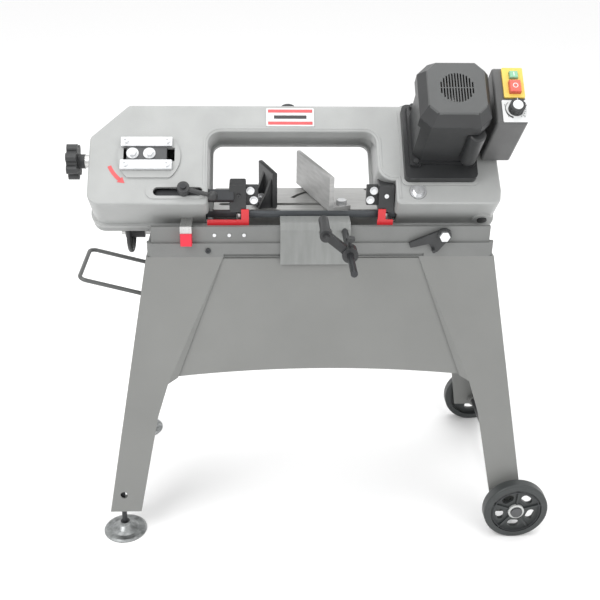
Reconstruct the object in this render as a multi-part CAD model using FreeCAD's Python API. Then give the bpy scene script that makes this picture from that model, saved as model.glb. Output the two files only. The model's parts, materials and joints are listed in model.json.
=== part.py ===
import FreeCAD, Part
import math
import os

V = FreeCAD.Vector
os.makedirs("parts", exist_ok=True)

# Horizontal metal-cutting band saw on a splayed sheet-metal stand.  Millimetres, +Z up, -Y to the
# operator.  Design frame: X = 0 and Y = 0 in the middle of the stand, Z = 0 on the floor.

# ---- driving dimensions -------------------------------------------------------------------------
STAND_TOP = 560.0
STAND_HALF_X = 322.0
STAND_HALF_Y = 92.0
SPLAY_X = 0.174                 # outward run of a leg per mm of drop, along X
SPLAY_Y = 0.206                 # the same along Y
APRON_SPLAY_Y = 0.161           # the aprons stand a little steeper than the legs
STRIP_DEPTH = 10.0              # how far a leg's folded strip reaches back at its lower end
SHEET = 3.0                     # stand sheet thickness
LEFT_LEG_BOTTOM = 58.0
RIGHT_LEG_BOTTOM = 46.0

WHEEL_R = 63.5                  # transport wheel
AXLE_X = 391.0
AXLE_R = 6.0
WHEEL_Y0 = 199.0
WHEEL_WIDTH = 23.0
FOOT_X = -386.0
FOOT_Y = 178.0
FOOT_CUP_R = 42.0
FOOT_STEM_R = 5.0

BED_TOP = 587.0                 # front ledge of the bed
BED_FLOOR = 578.0
TABLE_TOP = 627.0
TABLE_PLATE = 24.0
BLADE_Y = -54.6
BLADE_Z = 630.0
BLADE_WIDTH = 12.7
BLADE_THICK = 0.64

SCREW_Y = 14.0                  # vise lead screw
SCREW_Z = 568.0
SCREW_R = 6.0
JAW_ANGLE = 19.0
JAW_H = 70.0
FIXED_PIVOT = (41.0, -15.0)
MOVING_PIVOT = (-110.0, 4.0)
GAP = 0.3                       # clearance between pieces that move past each other
FIT = 0.05                      # radial running clearance of a shaft

PIVOT_X = 325.0                 # hinge that the saw bow swings on
PIVOT_Z = 625.0
PIVOT_R = 8.0

BOW_TILT = 43.0                 # the bow's plane leans back about X by this angle
BOW_ORIGIN = V(0, 12.9, 692.9)
BAND_R = 92.0                   # blade wheel
IDLER_A = -313.0
DRIVE_A = 215.0
CASE_FACE = 60.0                # bow frame: a along X, b up the leaning plane, c out of its face
CASE_BACK = -22.0
COVER_BACK = -46.0
CASE_WALL = 4.0
MOTOR_B = 24.0
GEAR_MODULE = 1.0
PINION_TEETH = 12
GEAR_TEETH = 36

nodes = {}


# ---- helpers ------------------------------------------------------------------------------------
def box(x0, x1, y0, y1, z0, z1):
    return Part.makeBox(x1 - x0, y1 - y0, z1 - z0, V(x0, y0, z0))


def rod(radius, start, axis, length):
    return Part.makeCylinder(radius, length, V(*start), V(*axis))


def face_of(points):
    return Part.Face(Part.makePolygon([V(*p) for p in points] + [V(*points[0])]))


def prism(points, sweep):
    """Planar polygon pushed along a vector."""
    return face_of(points).extrude(V(*sweep))


def plate_xy(points, z0, z1):
    return prism([(x, y, z0) for x, y in points], (0, 0, z1 - z0))


def plate_xz(points, y0, y1):
    return prism([(x, y0, z) for x, z in points], (0, y1 - y0, 0))


def plate_yz(points, x0, x1):
    return prism([(x0, y, z) for y, z in points], (x1 - x0, 0, 0))


def join(*shapes):
    result = shapes[0].multiFuse(list(shapes[1:]))
    return result.removeSplitter()


def group(*shapes):
    return Part.makeCompound(list(shapes))


def turned(shape, centre, axis, degrees):
    result = shape.copy()
    result.rotate(V(*centre), V(*axis), degrees)
    return result


def moved(shape, dx, dy, dz):
    result = shape.copy()
    result.translate(V(dx, dy, dz))
    return result


def mirrored_y(shape):
    return shape.mirror(V(0, 0, 0), V(0, 1, 0))


def hexagon(radius, start, axis, length):
    """Hexagonal head or nut, radius to its corners."""
    corners = []
    for i in range(6):
        angle = math.radians(60 * i)
        corners.append((radius * math.cos(angle), radius * math.sin(angle), 0.0))
    result = prism(corners, (0, 0, length))
    result.Placement = FreeCAD.Placement(V(*start), FreeCAD.Rotation(V(0, 0, 1), V(*axis)))
    return result


def rounded(shape, radius, keep_edge):
    """Fillet of every edge that keep_edge accepts."""
    edges = [edge for edge in shape.Edges if keep_edge(edge)]
    return shape.makeFillet(radius, edges)


def edges_along(axis):
    """Test for straight edges parallel to a vector."""
    direction = V(*axis)

    def test(edge):
        if edge.Curve.TypeId != "Part::GeomLine":
            return False
        return abs(edge.tangentAt(edge.FirstParameter).dot(direction)) > 0.999
    return test


def soft_box(x0, x1, y0, y1, z0, z1, radius, axis=None):
    """Box with all its edges rounded, or only those along an axis."""
    shape = box(x0, x1, y0, y1, z0, z1)
    if axis is None:
        return shape.makeFillet(radius, shape.Edges)
    return rounded(shape, radius, edges_along(axis))


def bow(shape):
    """Shape drawn in the bow's own a, b, c frame, put in its place on the machine."""
    result = shape.copy()
    place = FreeCAD.Placement(BOW_ORIGIN, FreeCAD.Rotation(V(1, 0, 0), BOW_TILT))
    result.Placement = place.multiply(result.Placement)
    return result


def screw_head(radius, centre, axis, height, socket=0.45):
    """Round head with a hexagonal socket."""
    head = rod(radius, centre, axis, height)
    top = V(*centre) + V(*axis) * (height * 0.5)
    return head.cut(hexagon(radius * socket, (top.x, top.y, top.z), axis, height))


# ---- stand --------------------------------------------------------------------------------------
def outer_x(z):
    return STAND_HALF_X + SPLAY_X * (STAND_TOP - z)


def outer_y(z):
    return STAND_HALF_Y + SPLAY_Y * (STAND_TOP - z)


def leg(side, bottom, inner_bottom):
    """Front leg of L section: a wide front plate and a side plate.  side is -1 left, +1 right."""
    inner = [(181.0, STAND_TOP), (289.0, 318.0), (310.0, 253.0), (inner_bottom, bottom)]
    outline = [(outer_x(STAND_TOP), STAND_TOP)] + inner + [(outer_x(bottom), bottom)]
    front = prism([(side * x, -outer_y(z), z) for x, z in outline], (0, SHEET, 0))
    top_y = -outer_y(STAND_TOP)
    low_y = -outer_y(bottom)
    flange = [(top_y, STAND_TOP), (-45.0, STAND_TOP), (low_y + 48.0, bottom), (low_y, bottom)]
    edge = prism([(side * outer_x(z), y, z) for y, z in flange], (-side * SHEET, 0, 0))
    fold = [(181.0, STAND_TOP, 0), (289.0, 318.0, 0), (271.0, 325.0, STRIP_DEPTH)]
    strip = prism([(side * x, depth - outer_y(z), z) for x, z, depth in fold], (0, SHEET, 0))
    return join(front, edge, strip)


def left_leg():
    shape = leg(-1, LEFT_LEG_BOTTOM, 349.0)
    plate_z = LEFT_LEG_BOTTOM + 2.0
    foot_plate = box(-outer_x(plate_z) + 1, -352.0, -outer_y(plate_z) + 1, -150.0, plate_z, plate_z + 4)
    shape = join(shape, foot_plate)
    shape = shape.cut(rod(FOOT_STEM_R + FIT, (FOOT_X, -FOOT_Y, 40), (0, 0, 1), 40))
    return shape.cut(rod(7.0, (-382.0, -210.0, 92.0), (0, 1, 0), 40))


def right_leg():
    shape = leg(1, RIGHT_LEG_BOTTOM, 350.0)
    boss = rod(AXLE_R + 6, (AXLE_X, -outer_y(WHEEL_R) + 1, WHEEL_R), (0, 1, 0), 14)
    return join(shape, boss).cut(rod(AXLE_R, (AXLE_X, -240, WHEEL_R), (0, 1, 0), 100))


nodes["leg_front_left"] = left_leg()
nodes["leg_front_right"] = right_leg()
nodes["leg_back_left"] = mirrored_y(nodes["leg_front_left"])
nodes["leg_back_right"] = mirrored_y(nodes["leg_front_right"])


def skirt():
    """Apron between two legs, just inside them, with an arched lower edge."""
    def on_plane(x, z):
        return V(x, SHEET + 0.2 - STAND_HALF_Y - APRON_SPLAY_Y * (STAND_TOP - z), z)
    top = STAND_TOP - 4
    low = 325.0
    edges = [Part.makeLine(on_plane(-200, top), on_plane(200, top)),
             Part.makeLine(on_plane(200, top), on_plane(280, low)),
             Part.Arc(on_plane(280, low), on_plane(0, 340), on_plane(-280, low)).toShape(),
             Part.makeLine(on_plane(-280, low), on_plane(-200, top))]
    return Part.Face(Part.Wire(edges)).extrude(V(0, 2.0, 0))


def end_panel(side):
    """Panel that closes one end of the stand below the bed, inside the side plates."""
    drop = 62.0
    low_z = STAND_TOP - drop
    outline = [(-78.0, STAND_TOP - 1), (78.0, STAND_TOP - 1), (88.0, low_z), (-88.0, low_z)]
    points = [(side * (outer_x(z) - SHEET), y, z) for y, z in outline]
    return prism(points, (-side * 2.0, 0, 0))


nodes["stand_panels"] = group(skirt(), mirrored_y(skirt()), end_panel(-1), end_panel(1))


def wheel_axle():
    length = WHEEL_Y0 + WHEEL_WIDTH + GAP
    shaft = rod(AXLE_R, (AXLE_X, -length - 4, WHEEL_R), (0, 1, 0), 2 * length + 8)
    caps = []
    for sign in (-1, 1):
        caps.append(rod(11.0, (AXLE_X, sign * length, WHEEL_R), (0, sign, 0), 4))
    return join(shaft, *caps)


def pull_handle():
    """U of round bar standing out of the left end."""
    radius = 4.0
    bend = 14.0
    root = V(-outer_x(475.0) + 2, -70, 475)
    tip = V(-452, -70, 507)
    along = (tip - root).normalize()
    corner_in = tip - along * bend
    corner_out = V(tip.x, tip.y + bend, tip.z)
    corner_mid = tip + (along * -0.293 + V(0, 0.293, 0)) * bend
    edges = [Part.makeLine(root, corner_in),
             Part.Arc(corner_in, corner_mid, corner_out).toShape(),
             Part.makeLine(corner_out, V(tip.x, 0, tip.z))]
    path = Part.Wire(edges)
    section = Part.Wire(Part.makeCircle(radius, root, along))
    half = path.makePipeShell([section], True, True)
    return join(half, mirrored_y(half))


nodes["wheel_axle"] = wheel_axle()
handle = pull_handle()
nodes["pull_handle"] = handle
for name in ("leg_front_left", "leg_back_left"):
    nodes[name] = nodes[name].cut(handle)


def transport_wheel():
    """Spoked wheel with a separate-looking tyre band; drawn at the front, mirrored for the back."""
    y0 = -(WHEEL_Y0 + WHEEL_WIDTH)
    centre = (AXLE_X, y0, WHEEL_R)
    tyre = rod(WHEEL_R, centre, (0, 1, 0), WHEEL_WIDTH)
    tyre = tyre.makeFillet(4.0, [e for e in tyre.Edges if e.Length > 300 and e.Closed])
    hollow = rod(WHEEL_R - 13, centre, (0, 1, 0), WHEEL_WIDTH)
    web = rod(WHEEL_R - 12, (AXLE_X, y0 + 5, WHEEL_R), (0, 1, 0), 8)
    ribs = []
    for i in range(5):
        ends = [rod(8.0, (AXLE_X + 32, y0, WHEEL_R + side), (0, 1, 0), WHEEL_WIDTH) for side in (-4, 4)]
        bridge = box(AXLE_X + 24, AXLE_X + 40, y0, y0 + WHEEL_WIDTH, WHEEL_R - 4, WHEEL_R + 4)
        web = web.cut(turned(join(bridge, *ends), centre, (0, 1, 0), 72 * i + 20))
        rib = box(AXLE_X + 13, AXLE_X + WHEEL_R - 12, y0 + 1.5, y0 + 6, WHEEL_R - 2, WHEEL_R + 2)
        ribs.append(turned(rib, centre, (0, 1, 0), 72 * i + 56))
    hub = rod(15.0, (AXLE_X, y0, WHEEL_R), (0, 1, 0), WHEEL_WIDTH)
    wheel = join(tyre.cut(hollow), web, hub, *ribs)
    return wheel.cut(rod(AXLE_R + FIT, (AXLE_X, y0 - 1, WHEEL_R), (0, 1, 0), WHEEL_WIDTH + 2))


nodes["transport_wheel_front"] = transport_wheel()
nodes["transport_wheel_back"] = mirrored_y(nodes["transport_wheel_front"])


def levelling_foot():
    """Steel cup on a threaded stem with a nut under and over the foot plate."""
    plate_z = LEFT_LEG_BOTTOM + 2.0
    profile = [V(0, 0, 0), V(FOOT_CUP_R, 0, 0), V(FOOT_CUP_R, 0, 2), V(FOOT_CUP_R - 4, 0, 4.5),
               V(27, 0, 5), V(20, 0, 9), V(12, 0, 15), V(9, 0, 21), V(FOOT_STEM_R, 0, 21),
               V(FOOT_STEM_R, 0, plate_z + 34)]
    profile.append(V(0, 0, plate_z + 34))
    face = Part.Face(Part.makePolygon(profile + [profile[0]]))
    stem = face.revolve(V(0, 0, 0), V(0, 0, 1), 360)
    lower_nut = hexagon(9.5, (0, 0, plate_z - GAP - 7), (0, 0, 1), 7)
    upper_nut = hexagon(9.5, (0, 0, plate_z + 4 + GAP), (0, 0, 1), 7)
    return moved(join(stem, lower_nut, upper_nut), FOOT_X, -FOOT_Y, 0)


nodes["levelling_foot_front"] = levelling_foot()
nodes["levelling_foot_back"] = mirrored_y(nodes["levelling_foot_front"])


# ---- bed and table ------------------------------------------------------------------------------
SUPPORT_X = (-76.0, 52.0)
LUG_Y = (46.0, 74.0)


def bed():
    """Open cast tray: flange walls, thin floor, front wall on a ledge and a hinge lug at the right."""
    outer = soft_box(-320, 320, -92, 92, STAND_TOP, BED_TOP, 10.0, (0, 0, 1))
    shape = outer.cut(box(-312, 312, -80, 84, STAND_TOP - 1, BED_TOP + 1))
    shape = shape.cut(box(-330, 330, -78, 79, BED_FLOOR, BED_TOP + 1))
    floor = box(-314, 314, -82, 86, BED_FLOOR - 3, BED_FLOOR)
    front = box(-311, 311, -88, -80, BED_TOP - 2, 618)
    back = box(-311, 311, 82, 89, BED_FLOOR - 2, 603)
    lug = box(PIVOT_X - 14, PIVOT_X + 14, LUG_Y[0], LUG_Y[1], BED_FLOOR - 16, PIVOT_Z)
    lug = join(lug, rod(14.0, (PIVOT_X, LUG_Y[0], PIVOT_Z), (0, 1, 0), LUG_Y[1] - LUG_Y[0]))
    shape = join(shape, floor, front, back, lug)
    shape = shape.cut(rod(PIVOT_R, (PIVOT_X, 0, PIVOT_Z), (0, 1, 0), 120))
    shape = shape.cut(rod(SCREW_R + FIT, (-330, SCREW_Y, SCREW_Z), (1, 0, 0), 30))
    shape = shape.cut(box(-190, 6, -2.5, 10.5, BED_FLOOR - 4, BED_FLOOR + 1))
    shape = shape.cut(box(SUPPORT_X[0], SUPPORT_X[1], -93, -80, BED_FLOOR - 2, 620))
    return shape.cut(box(-180, 190, -93, -89, STAND_TOP + 1, STAND_TOP + 6))


def table_block():
    """Table plate with its vise slots, on ribs that stand on the bed floor."""
    bottom = TABLE_TOP - TABLE_PLATE
    plate = soft_box(-200, 126, -25, 94, bottom, TABLE_TOP, 4.0, (0, 0, 1))
    ribs = [box(-196, -186, -22, 80, BED_FLOOR, bottom), box(112, 122, -22, 80, BED_FLOOR, bottom),
            box(-196, 122, -24, -16, BED_FLOOR, bottom)]
    shape = join(plate, *ribs)
    slot = join(box(-184, 0, -2, 10, bottom - 1, TABLE_TOP + 1),
                rod(6, (-184, 4, bottom - 1), (0, 0, 1), 30), rod(6, (0, 4, bottom - 1), (0, 0, 1), 30))
    px, py = FIXED_PIVOT
    ring = rod(109, (px, py, bottom - 1), (0, 0, 1), 30).cut(rod(101, (px, py, bottom - 1), (0, 0, 1), 30))
    first = math.radians(112)
    last = math.radians(150)
    reach = 200.0
    wedge = plate_xy([(px, py), (px + reach * math.cos(first), py + reach * math.sin(first)),
                      (px - reach, py + reach), (px + reach * math.cos(last), py + reach * math.sin(last))],
                     bottom - 1, TABLE_TOP + 1)
    shape = shape.cut(slot).cut(ring.common(wedge))
    shape = shape.cut(rod(5, (99, 84, bottom - 1), (0, 0, 1), 30))
    return shape.cut(rod(5.0, (px, py, bottom - 1), (0, 0, 1), 30))


def front_support():
    """Machined block in front of the table, with the blade's slot and the stop rod's hole."""
    x0, x1 = SUPPORT_X
    outline = [(-98, 547), (-98, 615), (-90, TABLE_TOP), (-25, TABLE_TOP), (-25, 603), (-80, 603),
               (-80, BED_FLOOR - 2), (-92, BED_FLOOR - 2), (-92, 547)]
    shape = plate_yz(outline, x0, x1)
    slot = box(x0 - 1, x1 + 1, BLADE_Y - 3, BLADE_Y + 3, 612, TABLE_TOP + 1)
    shape = shape.cut(slot)
    return shape.cut(rod(6.0 + FIT, (41, -100, 612), (0, 1, 0), 38))


nodes["bed"] = bed()
nodes["work_table"] = table_block()
nodes["front_support"] = front_support()
pivot_shaft = rod(PIVOT_R, (PIVOT_X, 28, PIVOT_Z), (0, 1, 0), 64)


def bed_screws():
    """Screws on the front of the bed: three small ones above, one larger below."""
    small = [screw_head(3.2, (x, -88, 602), (0, -1, 0), 2.0) for x in (-196, -169, -142)]
    return small + [screw_head(5.0, (-208, -92, 573), (0, -1, 0), 3.0)]


# ---- vise ---------------------------------------------------------------------------------------
def vise_carriage():
    """Nut block under the table with a stem that stands up through the slot."""
    px, py = MOVING_PIVOT
    low = SCREW_Z - 7.0
    block = box(px - 20, px + 20, -4, 30, low, BED_FLOOR - 3 - GAP)
    stem = rod(5.4, (px, py, BED_FLOOR - 4), (0, 0, 1), TABLE_TOP + 20 - BED_FLOOR + 4)
    shape = join(block, stem)
    return shape.cut(rod(SCREW_R + FIT, (px - 21, SCREW_Y, SCREW_Z), (1, 0, 0), 42))


def vise_screw():
    """Lead screw with a thrust collar inside the bed's end wall."""
    shaft = rod(SCREW_R, (-378, SCREW_Y, SCREW_Z), (1, 0, 0), 378 + 20)
    collar = rod(6.4, (-311.7, SCREW_Y, SCREW_Z), (1, 0, 0), 8)
    for i in range(10):
        ring = rod(SCREW_R + 1, (-160 + 16 * i, SCREW_Y, SCREW_Z), (1, 0, 0), 1.5)
        groove = ring.cut(rod(SCREW_R - 0.8, (-161 + 16 * i, SCREW_Y, SCREW_Z), (1, 0, 0), 5))
        shaft = shaft.cut(groove)
    return join(shaft, collar)


def vise_handwheel():
    """Rim, three spokes and hub."""
    x0 = -352.0
    centre = (x0, SCREW_Y, SCREW_Z)
    rim = Part.makeTorus(36.0, 5.0, V(x0 - 8, SCREW_Y, SCREW_Z), V(1, 0, 0))
    hub = rod(12.0, (x0 - 18, SCREW_Y, SCREW_Z), (1, 0, 0), 36)
    spokes = []
    for i in range(3):
        spoke = rod(4.0, (x0 - 8, SCREW_Y, SCREW_Z), (0, 0, 1), 36)
        spokes.append(turned(spoke, centre, (1, 0, 0), 120 * i + 30))
    return join(rim, hub, *spokes).cut(rod(SCREW_R, (-400, SCREW_Y, SCREW_Z), (1, 0, 0), 100))


def handwheel_grip():
    """Turned grip that stands out of the rim."""
    angle = math.radians(90)
    y = SCREW_Y + 36 * math.cos(angle)
    z = SCREW_Z + 36 * math.sin(angle)
    grip = rod(7.5, (-409, y, z), (1, 0, 0), 40)
    grip = grip.makeFillet(2.5, [e for e in grip.Edges if e.Closed and e.Length > 40])
    return grip


def straight_jaw(near, far, foot, pivot, hole):
    """Jaw drawn along +Y from the pivot, before it is swung to its working angle."""
    px, py = pivot
    z0 = TABLE_TOP + GAP
    face = box(px + foot[0], px + foot[1], py + near, py + far, z0, TABLE_TOP + JAW_H)
    face = rounded(face, 3.0, edges_along((0, 1, 0)))
    base = box(px + foot[2], px + foot[3], py - 13, py + 13, z0, z0 + 7)
    shape = join(face, base)
    return shape.cut(rod(hole, (px, py, z0 - 1), (0, 0, 1), 20))


def fixed_jaw():
    """Long cast jaw on a foot with a slotted tail."""
    px, py = FIXED_PIVOT
    shape = straight_jaw(-18, 150, (-33.0, -24.0, -30.0, 13.0), FIXED_PIVOT, 5.0 + FIT)
    tail = box(px - 27, px - 2, py + 96, py + 114, TABLE_TOP + GAP, TABLE_TOP + GAP + 7)
    shape = join(shape, tail)
    return turned(shape, (px, py, 0), (0, 0, 1), JAW_ANGLE)


def movable_jaw():
    """Short cast jaw with a curved stiffening rib behind it."""
    px, py = MOVING_PIVOT
    shape = straight_jaw(-30, 49, (12.0, 21.0, -14.0, 14.0), MOVING_PIVOT, 5.4 + FIT)
    z0 = TABLE_TOP + GAP
    rib = plate_xz([(px - 14, z0), (px + 14, z0), (px + 14, z0 + 62), (px + 2, z0 + 30)], py - 24, py - 16)
    other = moved(rib, 0, 40, 0)
    shape = join(shape, rib, other)
    return turned(shape, (px, py, 0), (0, 0, 1), JAW_ANGLE)


nodes["vise_screw"] = vise_screw()
nodes["vise_handwheel"] = group(vise_handwheel(), handwheel_grip())
nodes["fixed_jaw"] = fixed_jaw()
nodes["movable_jaw"] = movable_jaw()
bolt_z = TABLE_TOP + GAP + 7 + GAP
jaw_pivot_bolt = join(rod(5.0, (*FIXED_PIVOT, TABLE_TOP - TABLE_PLATE), (0, 0, 1), 32),
                      hexagon(10.0, (*FIXED_PIVOT, bolt_z), (0, 0, 1), 8))
jaw_nut = hexagon(10.0, (*MOVING_PIVOT, bolt_z), (0, 0, 1), 9)
jaw_nut = jaw_nut.cut(rod(5.4, (*MOVING_PIVOT, bolt_z - 1), (0, 0, 1), 20))
nodes["vise_carriage"] = group(vise_carriage(), jaw_nut)


# ---- work stop ----------------------------------------------------------------------------------
STOP_X = 41.0
STOP_Z = 612.0
STOP_Y = -195.0
STOP_BOSS = (-1.0, 647.0)       # X and Z of the pad's boss


def stop_rod():
    shape = rod(6.0, (STOP_X, -281, STOP_Z), (0, 1, 0), 281 - 62)
    return shape.makeFillet(1.5, [e for e in shape.Edges if e.Closed and e.Length > 30])


def stop_arm():
    """Hub on the rod, arm and boss."""
    half = 7.0
    hub = rod(14.0, (STOP_X, STOP_Y - 11, STOP_Z), (0, 1, 0), 22)
    boss = rod(11.0, (STOP_BOSS[0], STOP_Y - 9, STOP_BOSS[1]), (0, 1, 0), 18)
    dx = STOP_BOSS[0] - STOP_X
    dz = STOP_BOSS[1] - STOP_Z
    length = math.hypot(dx, dz)
    side_x = -dz / length * half
    side_z = dx / length * half
    web = plate_xz([(STOP_X + side_x, STOP_Z + side_z), (STOP_BOSS[0] + side_x, STOP_BOSS[1] + side_z),
                    (STOP_BOSS[0] - side_x, STOP_BOSS[1] - side_z), (STOP_X - side_x, STOP_Z - side_z)],
                   STOP_Y - 7, STOP_Y + 7)
    shape = join(hub, web, boss)
    shape = shape.cut(rod(6.0 + FIT, (STOP_X, STOP_Y - 30, STOP_Z), (0, 1, 0), 60))
    return shape.cut(rod(5.0, (STOP_BOSS[0], STOP_Y - 30, STOP_BOSS[1]), (0, 1, 0), 60))


def stop_pad():
    """Screw through the boss with a round pad on its inner end."""
    x, z = STOP_BOSS
    stem = rod(5.0, (x, STOP_Y - 22, z), (0, 1, 0), 40)
    pad = rod(9.0, (x, STOP_Y + 9, z), (0, 1, 0), 60)
    return join(stem, pad.makeFillet(2.0, [e for e in pad.Edges if e.Closed and e.Length > 50]))


nodes["stop_rod"] = stop_rod()
thumb_screw = join(rod(3.0, (STOP_X, STOP_Y, STOP_Z + 14), (0, 0, 1), 10),
                   rod(8.0, (STOP_X, STOP_Y, STOP_Z + 24), (0, 0, 1), 6))
nodes["stop_arm"] = group(stop_arm(), stop_pad(), thumb_screw)


# ---- latch that holds the bow down --------------------------------------------------------------
LATCH = (224.0, 604.0)
LATCH_THICK = 6.0


def latch_lever():
    y0 = -92 - GAP - LATCH_THICK
    outline = [(LATCH[0] + 11, LATCH[1] + 9), (LATCH[0] - 2, LATCH[1] + 12), (171, 594), (160, 589),
               (163, 580), (174, 582), (198, 588), (205, 570), (214, 572), (LATCH[0] + 9, LATCH[1] - 8)]
    plate = plate_xz(outline, y0, y0 + LATCH_THICK)
    boss = rod(13.0, (LATCH[0], y0 - 2, LATCH[1]), (0, 1, 0), LATCH_THICK + 2)
    finger = rod(3.0, (205, y0 - 12, 577), (0, 1, 0), 14)
    shape = join(plate, boss, finger)
    return shape.cut(rod(5.0 + FIT, (LATCH[0], y0 - 5, LATCH[1]), (0, 1, 0), 20))


def latch_bolt():
    y0 = -92 - GAP - LATCH_THICK - 2 - GAP
    shank = rod(5.0, (LATCH[0], y0, LATCH[1]), (0, 1, 0), -88 - y0)
    return join(shank, hexagon(10.0, (LATCH[0], y0 - 6, LATCH[1]), (0, 1, 0), 6))


nodes["latch_lever"] = latch_lever()
nodes["frame_fasteners"] = group(*bed_screws(), jaw_pivot_bolt, latch_bolt(), pivot_shaft)


# ---- saw bow: casting and covers ----------------------------------------------------------------
CASE_OUTLINE = [(-420, -101), (-420, 33), (-352, 101), (262, 101), (322, 41), (322, -10),
                (324, -74), (320, -101), (133, -101), (133, -54), (101, -54), (101, 46),
                (-206, 46), (-206, -101)]
CASE_CORNERS = [((-420, -101), 22.0), ((-420, 33), 14.0), ((-352, 101), 14.0), ((262, 101), 26.0),
                ((322, 41), 26.0), ((320, -101), 12.0), ((-206, 46), 24.0), ((101, 46), 22.0),
                ((101, -54), 30.0), ((133, -101), 8.0), ((-206, -101), 8.0)]
STEP_C = 38.0                   # behind this c the underside of the spine steps up to STEP_B
STEP_B = 70.0
BACK_OUTLINE = CASE_OUTLINE[:11] + [(101, STEP_B), (-206, STEP_B)] + CASE_OUTLINE[13:]
BACK_CORNERS = CASE_CORNERS[:6] + [((-206, STEP_B), 24.0), ((101, STEP_B), 22.0)] + CASE_CORNERS[8:]
DOWN_STOP = (-257.0, -236.0, -104.0, -89.0)                 # x and y limits of the down stop
BUMPER_TOP = 611.0
GUIDE_BAR = (-300.0, -160.0, -88.0, -66.0, 38.0, 50.0)      # a, b and c limits of the left guide's bar
TENSION_AXIS_C = 30.0
KNOB_THICK = 19.0


def round_corners(shape, corners):
    """Fillet the edges along c that stand on the given corners, each with its own radius."""
    for (a, b), radius in corners:
        found = []
        for edge in shape.Edges:
            ends = [vertex.Point for vertex in edge.Vertexes]
            if len(ends) == 2 and all(math.hypot(p.x - a, p.y - b) < 0.01 for p in ends):
                found.append(edge)
        shape = shape.makeFillet(radius, found)
    return shape


def lowest_face(shape):
    return min(shape.Faces, key=lambda face: face.CenterOfMass.z)


def obround(a0, a1, b, half, c0, c1):
    """Slot-shaped solid with rounded ends, long side along a."""
    bar = box(a0 + half, a1 - half, b - half, b + half, c0, c1)
    return join(bar, rod(half, (a0 + half, b, c0), (0, 0, 1), c1 - c0),
                rod(half, (a1 - half, b, c0), (0, 0, 1), c1 - c0))


def case_front():
    return round_corners(plate_xy(CASE_OUTLINE, STEP_C, CASE_FACE), CASE_CORNERS)


def case_rear():
    return round_corners(plate_xy(BACK_OUTLINE, CASE_BACK, STEP_C), BACK_CORNERS)


def case_solid():
    """Outer form of the case, without its hollow."""
    return join(case_front(), case_rear())


def case_shell():
    front = case_front()
    rear = case_rear()
    on_face = [edge for edge in front.Edges
               if all(abs(vertex.Point.z - CASE_FACE) < 0.01 for vertex in edge.Vertexes)]
    inner = lowest_face(rear).makeOffset2D(-CASE_WALL)
    hollow = inner.extrude(V(0, 0, CASE_FACE - CASE_WALL - CASE_BACK))
    lip = lowest_face(rear).makeOffset2D(5.0).extrude(V(0, 0, -8.0))
    lip = lip.cut(inner.extrude(V(0, 0, -8.0)))
    return join(join(front.makeFillet(3.5, on_face), rear).cut(hollow), lip)


def face_details():
    """Raised pads on the face: tension boss, guide slot rim, motor seat and hinge block."""
    boss = rod(56.5, (-312, -8, CASE_FACE - 1), (0, 0, 1), 4)
    boss = boss.common(box(-380, -250, -50, 34, CASE_FACE - 2, CASE_FACE + 4))
    rim = obround(-316, -208, -77, 14.5, CASE_FACE - 1, CASE_FACE + 1.5)
    seat = soft_box(143, 284, -66, 100, CASE_FACE - 1, CASE_FACE + 3, 12, (0, 0, 1))
    hinge_block = box(288, 322, -48, 48, COVER_BACK, -13)
    plug_boss = rod(18.0, (299, -100, -1), (0, -1, 0), 4)
    return [boss, rim, seat, hinge_block, plug_boss]


def bow_ears():
    """Two ears that hang from the hinge block to the pivot shaft, in the machine's frame."""
    ears = []
    for y in (LUG_Y[0] - GAP - 8, LUG_Y[1] + GAP):
        ear = box(PIVOT_X - 15, PIVOT_X + 15, y, y + 8, PIVOT_Z, PIVOT_Z + 90)
        ears.append(join(ear, rod(15.0, (PIVOT_X, y, PIVOT_Z), (0, 1, 0), 8)))
    return join(*ears)


def bow_casting():
    shape = join(case_shell(), *face_details())
    slide_window = box(-358, -266, -17.3, 10.3, 40, 70)
    guide_slot = obround(-303, -214, -77, 8.6, 40, 70)
    shape = shape.cut(slide_window).cut(guide_slot)
    shape = shape.cut(box(-212, -196, -110, -80, -16, 16))
    shape = shape.cut(box(128, 139, -110, -80, -16, 16))
    bar = GUIDE_BAR
    shape = shape.cut(box(-212, -196, bar[2] - GAP, bar[3] + GAP, bar[4] - GAP, bar[5] + GAP))
    shape = shape.cut(rod(5 + FIT, (-430, 0, TENSION_AXIS_C), (1, 0, 0), 20))
    shape = shape.cut(rod(10 + FIT, (DRIVE_A, 0, 50), (0, 0, 1), 20))
    shape = shape.cut(rod(15.5, (172, -77, CASE_FACE - 2), (0, 0, 1), 4))
    above_block = plate_xy([(280, -120), (345, -120), (345, 120), (280, 120)], COVER_BACK, 200)
    ears = bow_ears().cut(bow(above_block))
    shape = join(bow(shape), ears)
    return shape.cut(rod(PIVOT_R + FIT, (PIVOT_X, 0, PIVOT_Z), (0, 1, 0), 120))


def pan(outline, corners):
    """Pressed cover: flat back with a shallow rim that meets the case's lip."""
    outer = round_corners(plate_xy(outline, COVER_BACK, CASE_BACK - 8), corners)
    floor = lowest_face(outer)
    hollow = floor.makeOffset2D(-2.0).extrude(V(0, 0, 30))
    hollow.translate(V(0, 0, 2))
    return outer.cut(hollow)


def cover_left():
    outline = [(-424, -105), (-424, 35), (-354, 105), (-202, 105), (-202, -105)]
    corners = [((-424, -105), 24), ((-424, 35), 14), ((-354, 105), 14), ((-202, 105), 8), ((-202, -105), 8)]
    tab = plate_xy([(-325, -105), (-297, -105), (-311, -112)], CASE_BACK - 10, CASE_BACK - 8)
    return join(pan(outline, corners), tab)


def cover_right():
    outline = [(130, -105), (323, -105), (326, -50), (286, -50), (286, 50), (318, 50), (264, 105), (130, 105)]
    corners = [((323, -105), 12), ((264, 105), 20), ((130, 105), 8), ((130, -105), 8)]
    tab = plate_xy([(158, -105), (186, -105), (172, -112)], CASE_BACK - 10, CASE_BACK - 8)
    return join(pan(outline, corners), tab)


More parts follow.
